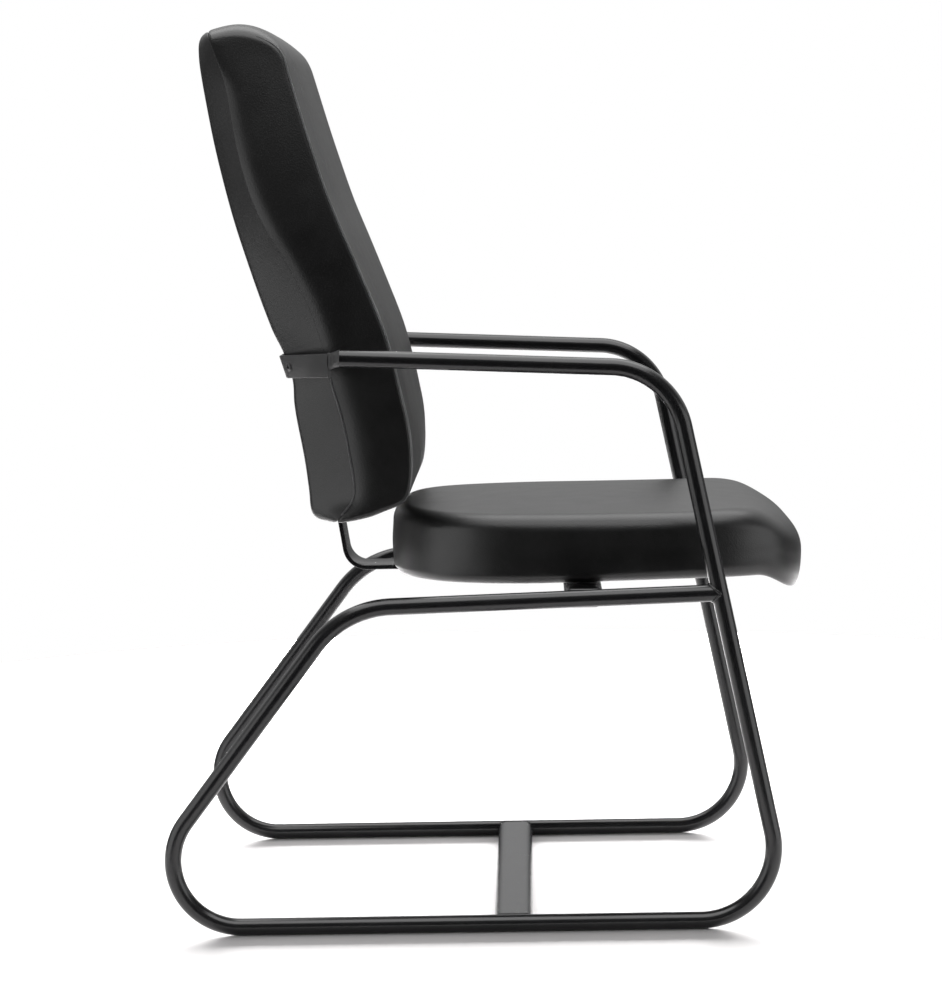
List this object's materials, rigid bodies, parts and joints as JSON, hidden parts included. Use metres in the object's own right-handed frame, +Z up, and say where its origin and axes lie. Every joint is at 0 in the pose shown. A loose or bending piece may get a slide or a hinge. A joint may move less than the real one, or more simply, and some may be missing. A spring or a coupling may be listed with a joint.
{
  "type": "sled base visitor chair",
  "caption": "High-backed upholstered visitor chair with armrests, on a sled base of bent round tube, its back held by a flat steel blade and a rear band.",
  "frame": {"origin": "on the floor, under the middle of the chair's box", "axes": "+X to the front of the chair, +Y to the sitter's left, +Z up"},
  "size_m": [0.7728, 0.58, 1.0669],
  "materials": {
    "paint": "semi-gloss black",
    "leather": "fine-grained black",
    "cloth": "black non-woven",
    "plywood": "raw",
    "steel": "zinc plated",
    "dark_steel": "black"
  },
  "bodies": {
    "root": {"side_frame_right": "paint", "side_frame_left": "paint", "arm_lug_right": "paint", "arm_lug_left": "paint", "floor_cross_bar": "paint", "seat_cross_bar": "paint", "seat_mount_plate": "paint", "back_blade": "paint", "rear_band": "paint", "seat_board": "plywood", "back_board": "plywood", "seat_dust_cover": "cloth", "seat_cushion": "leather", "back_cushion": "leather", "back_rear_cover": "leather", "seat_bolt_plate_1": "steel", "seat_bolt_plate_2": "steel", "seat_bolt_plate_3": "steel", "seat_bolt_plate_4": "steel", "seat_bolt_blade_1": "steel", "seat_bolt_blade_2": "steel", "seat_nut_plate_1": "steel", "seat_nut_plate_2": "steel", "seat_nut_plate_3": "steel", "seat_nut_plate_4": "steel", "seat_nut_blade_1": "steel", "seat_nut_blade_2": "steel", "back_bolt_1": "steel", "back_bolt_2": "steel", "back_bolt_3": "steel", "back_nut_1": "steel", "back_nut_2": "steel", "back_nut_3": "steel", "band_screw_right": "dark_steel", "band_screw_left": "dark_steel", "band_bolt_right": "dark_steel", "band_bolt_left": "dark_steel", "band_nut_right": "steel", "band_nut_left": "steel"}
  },
  "joints": []
}
